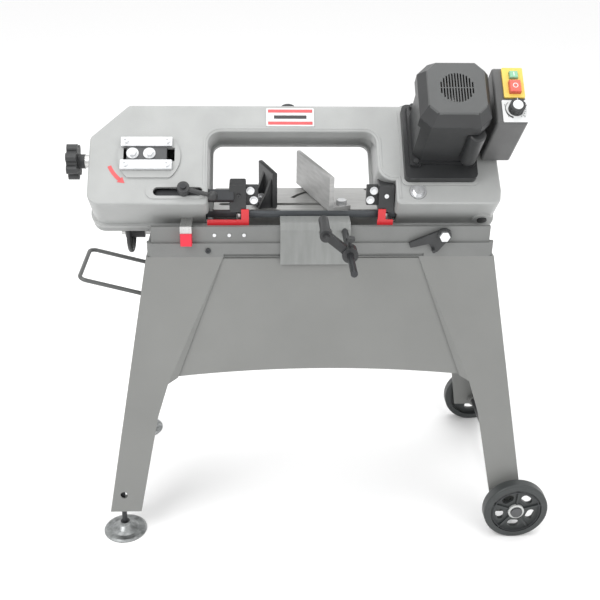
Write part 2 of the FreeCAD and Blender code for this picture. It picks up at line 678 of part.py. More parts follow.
def cover_screws():
    spots = [(-400, -70), (-400, 20), (-230, 80), (-230, -80), (160, 80), (160, -80), (260, 80), (300, -80)]
    return [screw_head(5.0, (a, b, COVER_BACK), (0, 0, -1), 3.0) for a, b in spots]


nodes["bow_casting"] = bow_casting()
nodes["cover_left"] = bow(cover_left())
nodes["cover_right"] = bow(cover_right())


# ---- blade wheels, blade and tension ------------------------------------------------------------
def band_wheel(a, bore):
    """Cast wheel with a flat rim, five spokes and a long hub."""
    rim = rod(BAND_R - GAP, (a, 0, -9), (0, 0, 1), 18).cut(rod(BAND_R - 12, (a, 0, -9), (0, 0, 1), 18))
    web = rod(BAND_R - 11, (a, 0, -3), (0, 0, 1), 6)
    for i in range(5):
        hole = rod(19.0, (a + 50, 0, -5), (0, 0, 1), 10)
        web = web.cut(turned(hole, (a, 0, 0), (0, 0, 1), 72 * i))
    hub = rod(20.0, (a, 0, -12), (0, 0, 1), 24)
    return join(rim, web, hub).cut(rod(bore, (a, 0, -13), (0, 0, 1), 26))


def idler_shaft():
    shaft = rod(8.0, (IDLER_A, 0, -18), (0, 0, 1), 68)
    washer = rod(14.0, (IDLER_A, 0, -16), (0, 0, 1), 3.7)
    collar = rod(12.0, (IDLER_A, 0, 12 + GAP), (0, 0, 1), 5)
    return join(shaft, washer, collar)


def tension_block():
    """Slide in the face window, with a nut tab for the tension screw behind it."""
    shape = join(box(-352, -280, -17, 10, 50, 66), box(-352, -340, -10, 10, 20, 51))
    return shape.cut(rod(5.0 + FIT, (-360, 0, TENSION_AXIS_C), (1, 0, 0), 30))


def tension_bolts():
    bolts = []
    for a in (-341, -311):
        washer = rod(11.0, (a, -3.5, 66), (0, 0, 1), 2.0)
        bolts.append(join(washer, hexagon(8.0, (a, -3.5, 68), (0, 0, 1), 6)))
    return bolts


def tension_gibs():
    """Two bars beside the slide."""
    upper = soft_box(-363, -270, 10 + GAP, 29, CASE_FACE + 3, CASE_FACE + 10, 1.5)
    lower = soft_box(-363, -270, -36, -17 - GAP, CASE_FACE + 3, CASE_FACE + 10, 1.5)
    return group(upper, lower)


def gib_screws():
    spots = [(a, b) for a in (-354, -279) for b in (20, -27)]
    return [screw_head(5.5, (a, b, CASE_FACE + 10), (0, 0, 1), 4.0) for a, b in spots]


def tension_screw():
    shaft = rod(5.0, (-440, 0, TENSION_AXIS_C), (1, 0, 0), 112)
    collar = rod(9.0, (-416 + GAP, 0, TENSION_AXIS_C), (1, 0, 0), 5)
    washer = rod(12.0, (-431, 0, TENSION_AXIS_C), (1, 0, 0), 431 - 420 - GAP)
    return join(shaft, collar, washer)


def tension_knob():
    """Lobed star knob."""
    centre = (-462, 0, TENSION_AXIS_C)
    core = join(rod(25.0, centre, (1, 0, 0), KNOB_THICK), rod(13.0, centre, (1, 0, 0), 31))
    lobes = []
    for i in range(7):
        lobe = rod(8.5, (-462, 24.5, TENSION_AXIS_C), (1, 0, 0), KNOB_THICK)
        lobes.append(turned(lobe, centre, (1, 0, 0), 360 / 7 * i))
    return join(core, *lobes).cut(rod(5.0, (-440, 0, TENSION_AXIS_C), (1, 0, 0), 20).fuse(
        rod(12.0, (-431, 0, TENSION_AXIS_C), (1, 0, 0), 5)))


def blade_section(a, b, twist):
    """Rectangle across the blade at station a, its width turned from c towards the vertical."""
    angle = math.radians(twist)
    width = V(0, math.sin(angle), math.cos(angle)) * (BLADE_WIDTH / 2)
    thick = V(0, math.cos(angle), -math.sin(angle)) * (BLADE_THICK / 2)
    centre = V(a, b, 0)
    corners = [centre + width + thick, centre - width + thick, centre - width - thick, centre + width - thick]
    return Part.makePolygon(corners + [corners[0]])


def twisted_run(a0, a1, twist0, twist1, steps):
    middle = -(BAND_R + BLADE_THICK / 2)
    sections = []
    for i in range(steps + 1):
        share = i / steps
        sections.append(blade_section(a0 + (a1 - a0) * share, middle, twist0 + (twist1 - twist0) * share))
    return Part.makeLoft(sections, True, True)


def saw_blade():
    """Endless band: half turns on the wheels, a flat top run and a bottom run twisted upright."""
    half = BLADE_WIDTH / 2
    outer_r = BAND_R + BLADE_THICK
    left = rod(outer_r, (IDLER_A, 0, -half), (0, 0, 1), BLADE_WIDTH)
    left = left.cut(rod(BAND_R, (IDLER_A, 0, -half), (0, 0, 1), BLADE_WIDTH))
    left = left.common(box(IDLER_A - 120, IDLER_A, -120, 120, -20, 20))
    right = rod(outer_r, (DRIVE_A, 0, -half), (0, 0, 1), BLADE_WIDTH)
    right = right.cut(rod(BAND_R, (DRIVE_A, 0, -half), (0, 0, 1), BLADE_WIDTH))
    right = right.common(box(DRIVE_A, DRIVE_A + 120, -120, 120, -20, 20))
    top = box(IDLER_A, DRIVE_A, BAND_R, outer_r, -half, half)
    start = box(IDLER_A, -300, -outer_r, -BAND_R, -half, half)
    end = box(204, DRIVE_A, -outer_r, -BAND_R, -half, half)
    runs = [twisted_run(-300, -172, 0, BOW_TILT, 6), twisted_run(-172, 136, BOW_TILT, BOW_TILT, 1),
            twisted_run(136, 204, BOW_TILT, 0, 5)]
    return join(left, top, right, start, end, *runs)


nodes["saw_blade"] = bow(saw_blade())
nodes["drive_wheel"] = bow(band_wheel(DRIVE_A, 10.0))
nodes["idler_wheel"] = bow(band_wheel(IDLER_A, 8.0 + FIT))
nodes["tension_block"] = bow(group(tension_block(), idler_shaft(), *tension_bolts()))
nodes["tension_gibs"] = bow(tension_gibs())
nodes["tension_screw"] = bow(tension_screw())
nodes["tension_knob"] = bow(tension_knob())


# ---- blade guides -------------------------------------------------------------------------------
ROLLER_R = 6.5
ROLLER_OFFSET = BLADE_THICK / 2 + GAP + ROLLER_R
HEAD_Z = (641.0, 692.0)
GUARD_Y = -77.0


def guide_bar():
    a0, a1, b0, b1, c0, c1 = GUIDE_BAR
    bar = soft_box(a0, a1, b0, b1, c0, c1, 2.0, (1, 0, 0))
    stud = rod(5.0, (-248, -77, c1 - 1), (0, 0, 1), 84 - c1)
    return bow(join(bar, stud))


def guide_head(x0, x1, roller_x, inner):
    """Head over the blade with two roller pins below it and a step towards the work."""
    body = soft_box(x0, x1, -74, -36, HEAD_Z[0], HEAD_Z[1], 3.0, (0, 1, 0))
    if inner > x1:
        step = soft_box(x1 - 4, inner, -62, -50, 650, 686, 1.5, (0, 1, 0))
    else:
        step = soft_box(inner, x0 + 4, -62, -50, 650, 686, 1.5, (0, 1, 0))
    pins = [rod(2.5, (roller_x, BLADE_Y + sign * ROLLER_OFFSET, 622), (0, 0, 1), 20) for sign in (-1, 1)]
    backing = box(roller_x - 5, roller_x + 5, BLADE_Y - 0.2, BLADE_Y + 0.2, 636.7, 642)
    return join(body, step, backing, *pins)


def guide_roller(x, sign):
    roller = rod(ROLLER_R, (x, BLADE_Y + sign * ROLLER_OFFSET, 623.6), (0, 0, 1), 12)
    return roller.cut(rod(2.5 + FIT, (x, BLADE_Y + sign * ROLLER_OFFSET, 620), (0, 0, 1), 20))


def guide_guard(x0, x1, tab_x):
    rail = soft_box(x0, x1, GUARD_Y, -74, 613, 627, 1.2, (0, 1, 0))
    return join(rail, box(tab_x, tab_x + 14, GUARD_Y, -74, 620, 647))


def guide_bolts(xs, block_x):
    """Bolts with washers on the step, and the set screw in the head's front."""
    heads = []
    for x, z in ((xs[0], 678), (xs[1], 660)):
        washer = rod(7.5, (x, -62, z), (0, -1, 0), 1.5)
        heads.append(join(washer, hexagon(5.5, (x, -63.5, z), (0, -1, 0), 5)))
    heads.append(screw_head(4.0, (block_x, -74, 672), (0, -1, 0), 2.5))
    return heads


nodes["guide_bar"] = guide_bar()
left_head = guide_head(-168, -138, -150, -116).cut(nodes["guide_bar"])
nodes["guide_head_left"] = group(left_head, *guide_bolts((-130, -124), -151))
nodes["guide_head_right"] = guide_head(103, 131, 117, 82).cut(bow(case_solid()))
nodes["guide_guard_left"] = guide_guard(-209, -133, -147)
nodes["guide_guard_right"] = guide_guard(102, 131, 103)
for side, x in (("left", -150.0), ("right", 117.0)):
    for place, sign in (("front", -1), ("back", 1)):
        nodes["roller_" + side + "_" + place] = guide_roller(x, sign)


def lock_lever():
    """Hub, bent handle and ball that clamp the guide bar in its slot."""
    hub = rod(11.0, (-248, -77, CASE_FACE + 3), (0, 0, 1), 16)
    tip = V(-196, -92, 73)
    start = V(-248, -77, 73)
    arm = rod(4.0, tuple(start), tuple(tip - start), (tip - start).Length)
    ball = Part.makeSphere(9.0, tip)
    return join(hub, arm, ball).cut(rod(5.0 + FIT, (-248, -77, 50), (0, 0, 1), 60))


nodes["guide_lock_lever"] = bow(lock_lever())


# ---- drive --------------------------------------------------------------------------------------
def gear(teeth, thin, phase, width):
    """Spur gear about +Z with involute flanks, thinned by thin at the pitch circle."""
    pressure = math.radians(25)
    pitch_r = GEAR_MODULE * teeth / 2
    base_r = pitch_r * math.cos(pressure)
    tip_r = pitch_r + 0.8 * GEAR_MODULE
    root_r = pitch_r - 1.1 * GEAR_MODULE
    half_pitch = math.pi / (2 * teeth) - thin / (2 * pitch_r)
    start_involute = half_pitch + math.tan(pressure) - pressure

    def half_angle(radius):
        roll = math.acos(min(1.0, base_r / radius))
        return start_involute - (math.tan(roll) - roll)
    low = max(base_r, root_r)
    radii = [low + (tip_r - low) * i / 4 for i in range(5)]
    points = []
    for k in range(teeth):
        middle = 2 * math.pi * k / teeth + phase
        side = [(root_r, half_angle(low))] + [(r, half_angle(r)) for r in radii]
        for r, half in side:
            points.append((r * math.cos(middle - half), r * math.sin(middle - half)))
        for r, half in reversed(side):
            points.append((r * math.cos(middle + half), r * math.sin(middle + half)))
    return plate_xy(points, 0, width)


def drive_shaft():
    shape = rod(10.0, (DRIVE_A, 0, -14), (0, 0, 1), 86.5)
    return join(shape, rod(14.0, (DRIVE_A, 0, -15), (0, 0, 1), 3))


def drive_gear():
    wheel = gear(GEAR_TEETH, 0.12, 0.0, 8.0)
    wheel.translate(V(DRIVE_A, 0, CASE_FACE + 5))
    return wheel.cut(rod(10.0, (DRIVE_A, 0, CASE_FACE), (0, 0, 1), 20))


def motor_base():
    """Gear housing that carries the motor on the case."""
    low = CASE_FACE + 3
    shape = soft_box(148, 279, -60, 92, low, low + 16, 10, (0, 0, 1))
    shape = shape.cut(rod(21.5, (DRIVE_A, 0, low), (0, 0, 1), 11))
    shape = shape.cut(rod(9.5, (DRIVE_A, MOTOR_B, low), (0, 0, 1), 11))
    return shape.cut(rod(4.0 + FIT, (DRIVE_A, MOTOR_B, low), (0, 0, 1), 20))


def control_bracket():
    """Angle between the motor's gear housing and the control box."""
    foot = box(279, 287, 0, 62, CASE_FACE + 5, CASE_FACE + 17)
    return join(foot, box(281, 287, 0, 62, CASE_FACE + 5, CASE_FACE + 60))


MOTOR_C0 = CASE_FACE + 19.0
MOTOR_C1 = 212.0


def octagon(half, chamfer, c):
    a = DRIVE_A
    b = MOTOR_B
    k = half - chamfer
    return [(a - half, b - k, c), (a - k, b - half, c), (a + k, b - half, c), (a + half, b - k, c),
            (a + half, b + k, c), (a + k, b + half, c), (a - k, b + half, c), (a - half, b + k, c)]


def motor_body():
    """Motor frame with a foot ring, a capacitor tube and a hollow for the stator."""
    length = MOTOR_C1 - MOTOR_C0
    shape = prism(octagon(54, 14, MOTOR_C0), (0, 0, length))
    skirt_ring = prism(octagon(57, 15, MOTOR_C0), (0, 0, 9))
    feet = []
    for a in (166, 264):
        feet.append(soft_box(a - 10, a + 10, MOTOR_B - 62, MOTOR_B + 62, MOTOR_C0, MOTOR_C0 + 9, 4, (0, 0, 1)))
    capacitor = rod(15.0, (DRIVE_A + 42, MOTOR_B - 56, MOTOR_C0 + 20), (0, 0, 1), 88)
    capacitor = capacitor.makeFillet(4.0, [e for e in capacitor.Edges if e.Closed and e.Length > 80])
    saddle = box(DRIVE_A + 28, DRIVE_A + 50, MOTOR_B - 60, MOTOR_B - 40, MOTOR_C0 + 24, MOTOR_C0 + 96)
    shape = join(shape, capacitor, saddle, skirt_ring, *feet)
    shape = shape.cut(prism(octagon(50, 12, MOTOR_C0 + 5), (0, 0, length)))
    return shape.cut(rod(4.0 + FIT, (DRIVE_A, MOTOR_B, MOTOR_C0 - 1), (0, 0, 1), 10))


def motor_stator():
    ring = prism(octagon(50, 12, 110), (0, 0, 70))
    return ring.cut(rod(32.0, (DRIVE_A, MOTOR_B, 100), (0, 0, 1), 100))


def motor_rotor():
    """Rotor on its shaft with the drive pinion at the lower end."""
    pinion = gear(PINION_TEETH, 0.12, math.pi / PINION_TEETH, 9.0)
    pinion.translate(V(DRIVE_A, MOTOR_B, CASE_FACE + 4.5))
    shaft = rod(4.0, (DRIVE_A, MOTOR_B, CASE_FACE + 4.5), (0, 0, 1), 140)
    core = rod(31.0, (DRIVE_A, MOTOR_B, 112), (0, 0, 1), 66)
    fan = rod(27.0, (DRIVE_A, MOTOR_B, 190), (0, 0, 1), 8)
    return join(pinion, shaft, core, fan)


def motor_cover():
    """Octagonal end cover with a sloping crown and a round slotted grille."""
    rim = prism(octagon(61, 19, 190), (0, 0, 24))
    crown = Part.makeLoft([Part.makePolygon([V(*p) for p in octagon(61, 19, 214)] + [V(*octagon(61, 19, 214)[0])]),
                           Part.makePolygon([V(*p) for p in octagon(48, 15, 240)] + [V(*octagon(48, 15, 240)[0])])],
                          True, True)
    shape = join(rim, crown)
    shape = shape.cut(prism(octagon(57.3, 15.2, 189), (0, 0, MOTOR_C1 - 189)))
    inner = Part.makeLoft([Part.makePolygon([V(*p) for p in octagon(49, 14, 211)] + [V(*octagon(49, 14, 211)[0])]),
                           Part.makePolygon([V(*p) for p in octagon(44, 13, 236)] + [V(*octagon(44, 13, 236)[0])])],
                          True, True)
    shape = shape.cut(inner)
    grille = 29.0
    for i in range(12):
        a = -grille + 2.6 + i * 4.8
        half = math.sqrt(grille ** 2 - a ** 2) - 1
        shape = shape.cut(box(DRIVE_A + a - 1.3, DRIVE_A + a + 1.3, MOTOR_B - half, MOTOR_B + half, 230, 245))
    return shape


def motor_bolts():
    """Feet bolts and cover screws."""
    heads = []
    for a in (166, 264):
        for b in (MOTOR_B - 56, MOTOR_B + 57):
            heads.append(rod(4.5, (a, b, MOTOR_C0 + 9), (0, 0, 1), 6))
    return heads


nodes["drive_shaft"] = bow(group(drive_shaft(), drive_gear()))
nodes["motor_base"] = bow(join(motor_base(), control_bracket()))
nodes["motor_body"] = bow(motor_body())
nodes["motor_stator"] = bow(motor_stator())
nodes["motor_rotor"] = bow(motor_rotor())
nodes["motor_cover"] = bow(motor_cover())


# ---- controls on the bow ------------------------------------------------------------------------
BUTTONS = {"start_button": (322.0, 70.0, 7.5, 7.0, 6.0), "stop_button": (322.0, 46.0, 10.0, 12.0, 8.0)}
DIAL = (321.0, 5.0)
PANEL_C = 202.0


def control_box():
    """Moulded box, hollow, with openings for the buttons and the dial's spindle."""
    shape = soft_box(287, 341, -21, 89, 70, PANEL_C, 5.0)
    shape = shape.cut(box(291, 337, -17, 85, 74, PANEL_C - 4))
    for a, b, half_a, half_b, rise in BUTTONS.values():
        shape = shape.cut(box(a - half_a, a + half_a, b - half_b, b + half_b, PANEL_C - 5, PANEL_C + 1))
    shape = shape.cut(rod(4.0 + FIT, (DIAL[0], DIAL[1], PANEL_C - 5), (0, 0, 1), 10))
    return shape


def switch_plate():
    shape = soft_box(303, 339, 27, 86, PANEL_C, PANEL_C + 4, 2.5, (0, 0, 1))
    for a, b, half_a, half_b, rise in BUTTONS.values():
        shape = shape.cut(box(a - half_a, a + half_a, b - half_b, b + half_b, PANEL_C - 5, PANEL_C + 10))
    return shape


def push_button(name):
    a, b, half_a, half_b, rise = BUTTONS[name]
    half_a -= GAP
    half_b -= GAP
    shape = box(a - half_a, a + half_a, b - half_b, b + half_b, PANEL_C - 6, PANEL_C + 4 + rise)
    top = [edge for edge in shape.Edges if all(v.Point.z > PANEL_C + 4 for v in edge.Vertexes)]
    flange = box(a - half_a - 2, a + half_a + 2, b - half_b - 2, b + half_b + 2, PANEL_C - 8, PANEL_C - 4 - GAP)
    return join(shape.makeFillet(1.8, top), flange)


def speed_dial():
    shape = rod(13.4, (DIAL[0], DIAL[1], PANEL_C + 2 + GAP), (0, 0, 1), 14)
    ribs = []
    for i in range(12):
        groove = rod(1.6, (DIAL[0] + 14.0, DIAL[1], PANEL_C + 5), (0, 0, 1), 20)
        ribs.append(turned(groove, (DIAL[0], DIAL[1], 0), (0, 0, 1), 30 * i))
    shape = shape.cut(join(*ribs))
    return join(shape, rod(4.0, (DIAL[0], DIAL[1], PANEL_C - 10), (0, 0, 1), 14))


def dial_plate():
    shape = soft_box(298, 340, -19, 23, PANEL_C, PANEL_C + 2, 2.0, (0, 0, 1))
    return shape.cut(rod(4.0 + FIT, (DIAL[0], DIAL[1], PANEL_C - 1), (0, 0, 1), 10))


def cord_gland():
    """Hexagonal nut and dome on the outer side of the control box, where the supply cable enters."""
    nut = hexagon(11.0, (341, 20, 110), (1, 0, 0), 5)
    dome = rod(8.5, (346, 20, 110), (1, 0, 0), 9)
    return join(nut, dome).cut(rod(4.0, (340, 20, 110), (1, 0, 0), 20))


nodes["control_box"] = bow(group(control_box(), cord_gland()))
nodes["switch_plate"] = bow(switch_plate())
nodes["dial_plate"] = bow(dial_plate())
nodes["start_button"] = bow(push_button("start_button"))
nodes["stop_button"] = bow(push_button("stop_button"))
nodes["speed_dial"] = bow(speed_dial())


# ---- small pieces on the bow --------------------------------------------------------------------
def down_stop_bracket():
    """Steel angle that runs forward from the case's lower wall and carries the bumper."""
    x0, x1, y0, y1 = DOWN_STOP
    angle = join(box(x0, x1, y0, -50, BUMPER_TOP + 10, BUMPER_TOP + 14),
                 box(x0, x1, y0, y1, BUMPER_TOP, BUMPER_TOP + 10))
    above_wall = box(-300, -200, -101, 300, -200, 300)
    return angle.cut(bow(above_wall))


def top_knob():
    base = rod(9.0, (-59, 101, 30), (0, 1, 0), 6)
    cap = rod(14.0, (-59, 107, 30), (0, 1, 0), 9)
    return join(base, cap.makeFillet(2.5, [e for e in cap.Edges if e.Closed and e.Length > 60]))


def housing_bolt():
    washer = rod(15.0, (172, -77, CASE_FACE - 2), (0, 0, 1), 3.5)
    return join(washer, hexagon(9.5, (172, -77, CASE_FACE + 1.5), (0, 0, 1), 6))


nodes["name_plate"] = bow(soft_box(-100, -12, 56, 94, CASE_FACE, CASE_FACE + 2, 2.0, (0, 0, 1)))
nodes["down_stop_bracket"] = down_stop_bracket()
x0, x1, y0, y1 = DOWN_STOP
nodes["down_stop_bumper"] = soft_box(x0, x1, y0 - 2, y1, BED_TOP + GAP, BUMPER_TOP, 2.0, (0, 0, 1))
case_plug = rod(9.0, (299, -104, -1), (0, -1, 0), 3)
nodes["case_knobs"] = bow(group(top_knob(), case_plug))
bow_bolts = cover_screws() + gib_screws() + motor_bolts() + [housing_bolt()]
nodes["bow_fasteners"] = group(*[bow(bolt) for bolt in bow_bolts], *guide_bolts((95, 89), 117))


# ---- origin at the middle of the footprint, on the floor ----------------------------------------
LEFT_END = -462.0
RIGHT_END = AXLE_X + WHEEL_R
FRONT_END = -281.0
BACK_END = WHEEL_Y0 + WHEEL_WIDTH + GAP + 4
SHIFT = V(-(LEFT_END + RIGHT_END) / 2, -(FRONT_END + BACK_END) / 2, 0)

for name, shape in nodes.items():
    shape.translate(SHIFT)
    shape.exportStep("parts/" + name + ".step")
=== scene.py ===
import json
import math

import bmesh
import bpy
from mathutils import Matrix, Vector


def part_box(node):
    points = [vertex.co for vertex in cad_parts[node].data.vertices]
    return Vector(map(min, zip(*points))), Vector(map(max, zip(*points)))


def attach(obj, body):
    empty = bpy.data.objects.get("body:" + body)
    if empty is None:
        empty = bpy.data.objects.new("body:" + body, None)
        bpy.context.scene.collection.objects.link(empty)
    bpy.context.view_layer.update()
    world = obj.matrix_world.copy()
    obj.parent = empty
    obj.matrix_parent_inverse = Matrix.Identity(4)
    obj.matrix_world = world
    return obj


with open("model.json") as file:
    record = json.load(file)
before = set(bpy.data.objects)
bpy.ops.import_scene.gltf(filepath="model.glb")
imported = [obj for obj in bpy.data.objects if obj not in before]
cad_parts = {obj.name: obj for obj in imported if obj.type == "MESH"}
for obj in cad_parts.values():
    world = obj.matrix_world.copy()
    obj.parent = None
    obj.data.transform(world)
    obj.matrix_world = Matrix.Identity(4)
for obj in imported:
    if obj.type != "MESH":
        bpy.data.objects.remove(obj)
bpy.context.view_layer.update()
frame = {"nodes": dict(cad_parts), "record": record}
nodes = frame["nodes"]
joints = {joint["name"]: joint for joint in frame["record"]["behaviour"]["joints"]}

# ---- the leaning frame of the saw bow: a along X, b up the plane, c out of its face --------------
DRIVE_A = 0.215
BOW_AXIS = Vector(joints["drive_spin"]["axis"]).normalized()
BOW_ORIGIN = Vector(joints["drive_spin"]["pos_m"]) - Vector((DRIVE_A, 0, 0))
BOW_TILT = math.atan2(-BOW_AXIS.y, BOW_AXIS.z)
BOW = Matrix.Translation(BOW_ORIGIN) @ Matrix.Rotation(BOW_TILT, 4, "X")
BOW_INVERSE = BOW.inverted()
FACE_C = 0.060                 # face of the casting along c
PANEL_C = 0.202                # front of the control box along c
DIAL = (0.321, 0.005)          # a and b of the speed dial
START = (0.322, 0.070)         # a and b of the start button
STOP = (0.322, 0.046)          # a and b of the stop button

CAMERA_PLACE = Vector((-0.11425, -1.62465, 1.258))
CAMERA_PITCH = 26.75           # degrees down
CAMERA_YAW = 2.93              # degrees to the right
CAMERA_ROLL = 0.98
LENS = 55.6
SENSOR = 36.0

FLOOR_HALF = 9.0
FLOOR_TONE = 0.95
WORLD_STRENGTH = 1.0
# name, place, what it points at, size and power
LIGHTS = [
    ("key", (-1.6, -1.6, 2.6), (0, 0, 0.5), 1.6, 42),
    ("fill", (2.0, -1.8, 1.6), (0, 0, 0.5), 1.8, 16),
    ("top", (0.2, 0.6, 3.0), (0, 0, 0.6), 2.0, 30),
]


# ---- camera, floor and light ---------------------------------------------------------------------
def make_camera():
    """Camera at the photograph's viewing angle."""
    pitch = math.radians(CAMERA_PITCH)
    yaw = math.radians(CAMERA_YAW)
    roll = math.radians(CAMERA_ROLL)
    level = math.cos(pitch)
    forward = Vector((math.sin(yaw) * level, math.cos(yaw) * level, -math.sin(pitch)))
    right = Vector((math.cos(yaw), -math.sin(yaw), 0))
    up = right.cross(forward)
    side = right * math.cos(roll) + up * math.sin(roll)
    top = up * math.cos(roll) - right * math.sin(roll)
    data = bpy.data.cameras.new("camera")
    data.lens = LENS
    data.sensor_width = SENSOR
    camera = bpy.data.objects.new("camera", data)
    turn = Matrix((side, top, -forward)).transposed().to_4x4()
    camera.matrix_world = Matrix.Translation(CAMERA_PLACE) @ turn
    bpy.context.collection.objects.link(camera)
    bpy.context.scene.camera = camera


def area_light(name, place, aim, size, power):
    """Square area light that points at a spot."""
    data = bpy.data.lights.new(name, "AREA")
    data.shape = "SQUARE"
    data.size = size
    data.energy = power
    light = bpy.data.objects.new(name, data)
    light.location = place
    light.rotation_euler = (Vector(aim) - Vector(place)).to_track_quat("-Z", "Y").to_euler()
    bpy.context.collection.objects.link(light)


def shader_of(name):
    """New material and its main shader."""
    material = bpy.data.materials.new(name)
    material.use_nodes = True
    return material, material.node_tree.nodes["Principled BSDF"]


def make_stage():
    """Pale floor, even white surroundings and three soft lights."""
    material, shader = shader_of("floor_white")
    shader.inputs["Base Color"].default_value = (FLOOR_TONE, FLOOR_TONE, FLOOR_TONE, 1)
    shader.inputs["Roughness"].default_value = 0.9
    mesh = bpy.data.meshes.new("floor")
    half = FLOOR_HALF
    corners = [(-half, -half, 0), (half, -half, 0), (half, half, 0), (-half, half, 0)]
    mesh.from_pydata(corners, [], [(0, 1, 2, 3)])
    mesh.materials.append(material)
    floor = bpy.data.objects.new("floor", mesh)
    bpy.context.collection.objects.link(floor)
    world = bpy.data.worlds.new("studio")
    world.use_nodes = True
    background = world.node_tree.nodes["Background"]
    background.inputs["Color"].default_value = (1.0, 1.0, 1.0, 1)
    background.inputs["Strength"].default_value = WORLD_STRENGTH
    bpy.context.scene.world = world
    bpy.context.scene.view_settings.view_transform = "Standard"
    for light in LIGHTS:
        area_light(*light)


# ---- materials -----------------------------------------------------------------------------------
RAMP_ENDS = (0.3, 0.7)         # noise values at which the mottling is darkest and lightest
UNEVEN_RATIO = 6               # the gloss varies this many times finer than the colour
BUMP_DISTANCE = 0.0004
BUMP_PER_GRAIN = 10


def surface(name, color, roughness, metallic=0.0, mottle=0.06, mottle_scale=9.0, grain=0.02,
            grain_scale=900.0, rough_spread=0.08, stretch=(1, 1, 1), coat=0.0):
    """Procedural finish: soft mottling of the colour, uneven gloss and a fine bump."""
    material, shader = shader_of(name)
    tree = material.node_tree
    links = tree.links
    coords = tree.nodes.new("ShaderNodeTexCoord")
    mapping = tree.nodes.new("ShaderNodeMapping")
    mapping.inputs["Scale"].default_value = stretch
    links.new(coords.outputs["Object"], mapping.inputs["Vector"])

    def noise(scale, detail):
        node = tree.nodes.new("ShaderNodeTexNoise")
        node.inputs["Scale"].default_value = scale
        node.inputs["Detail"].default_value = detail
        links.new(mapping.outputs["Vector"], node.inputs["Vector"])
        return node

    broad = noise(mottle_scale, 5.0)
    ramp = tree.nodes.new("ShaderNodeValToRGB")
    dark = [channel * (1 - mottle) for channel in color]
    light = [min(1.0, channel * (1 + mottle)) for channel in color]
    ramp.color_ramp.elements[0].position = RAMP_ENDS[0]
    ramp.color_ramp.elements[0].color = (*dark, 1)
    ramp.color_ramp.elements[1].position = RAMP_ENDS[1]
    ramp.color_ramp.elements[1].color = (*light, 1)
    links.new(broad.outputs["Fac"], ramp.inputs["Fac"])
    links.new(ramp.outputs["Color"], shader.inputs["Base Color"])
    uneven = noise(mottle_scale * UNEVEN_RATIO, 4.0)
    span = tree.nodes.new("ShaderNodeMapRange")
    span.inputs["To Min"].default_value = max(0.02, roughness - rough_spread)
    span.inputs["To Max"].default_value = min(1.0, roughness + rough_spread)
    links.new(uneven.outputs["Fac"], span.inputs["Value"])
    links.new(span.outputs["Result"], shader.inputs["Roughness"])
    fine = noise(grain_scale, 3.0)
    bump = tree.nodes.new("ShaderNodeBump")
    bump.inputs["Strength"].default_value = grain * BUMP_PER_GRAIN
    bump.inputs["Distance"].default_value = BUMP_DISTANCE
    links.new(fine.outputs["Fac"], bump.inputs["Height"])
    links.new(bump.outputs["Normal"], shader.inputs["Normal"])
    shader.inputs["Metallic"].default_value = metallic
    shader.inputs["Coat Weight"].default_value = coat
    return material


# Each call gives name, color, roughness, metallic, mottle,
# mottle_scale, grain, grain_scale, rough_spread, stretch and coat.
PAINT_CAST = surface("paint_cast", (0.345, 0.352, 0.347), 0.40, 0.0, 0.06, 16, 0.05, 420)
PAINT_COVER = surface("paint_cover", (0.28, 0.286, 0.282), 0.42, 0.0, 0.05, 14, 0.02, 700)
PAINT_SHEET = surface("paint_sheet", (0.188, 0.191, 0.184), 0.42, 0.0, 0.05, 7, 0.03, 900)
PAINT_BED = surface("paint_bed", (0.165, 0.169, 0.165), 0.48, 0.0, 0.08, 14, 0.05, 380)
GROUND_IRON = surface("ground_iron", (0.50, 0.50, 0.49), 0.36, 0.75, 0.10, 22, 0.03, 160,
                      0.1, (1, 14, 1))
SUPPORT_IRON = surface("support_iron", (0.215, 0.222, 0.216), 0.38, 0.1, 0.08, 18, 0.03, 300,
                       0.1, (6, 1, 1))
JAW_IRON = surface("jaw_iron", (0.42, 0.42, 0.415), 0.42, 0.25, 0.14, 30, 0.05, 200,
                   0.1, (1, 1, 5))
MACHINED = surface("machined_steel", (0.55, 0.55, 0.54), 0.30, 0.9, 0.07, 30, 0.03, 240,
                   0.1, (9, 1, 1))
BRIGHT = surface("bright_plate", (0.74, 0.75, 0.76), 0.30, 0.75, 0.05, 60, 0.02, 500)
GALVANISED = surface("galvanised", (0.27, 0.28, 0.28), 0.36, 0.85, 0.38, 90, 0.04, 300, 0.14)
BLADE_STEEL = surface("blade_steel", (0.13, 0.14, 0.15), 0.40, 0.8, 0.14, 40, 0.02, 300,
                      0.12, (1, 8, 8))
BLACK_CAST = surface("black_cast", (0.026, 0.027, 0.028), 0.40, 0.0, 0.18, 30, 0.06, 500)
BLACK_OXIDE = surface("black_oxide", (0.045, 0.047, 0.05), 0.33, 0.6, 0.15, 40, 0.02, 500)
BLACK_MOULD = surface("black_mould", (0.028, 0.029, 0.030), 0.46, 0.0, 0.10, 25, 0.06, 1100)
HANDLE_GREY = surface("handle_grey", (0.085, 0.088, 0.086), 0.38, 0.0, 0.08, 30, 0.03, 600)
SLIDE_STEEL = surface("slide_steel", (0.10, 0.102, 0.105), 0.36, 0.6, 0.12, 40, 0.03, 400)
MOTOR_SHELL = surface("motor_shell", (0.022, 0.023, 0.024), 0.36, 0.0, 0.10, 20, 0.012, 900)
MOTOR_END = surface("motor_end", (0.082, 0.085, 0.085), 0.42, 0.0, 0.08, 20, 0.06, 1000)
BOX_GREY = surface("box_grey", (0.088, 0.089, 0.089), 0.42, 0.0, 0.08, 20, 0.05, 1000)
RED_GUARD = surface("red_guard", (0.58, 0.018, 0.026), 0.34, 0.0, 0.07, 25, 0.02, 700, coat=0.2)
RED_PRINT = surface("red_print", (0.58, 0.085, 0.09), 0.42, 0.0, 0.07, 60, 0.02, 700)
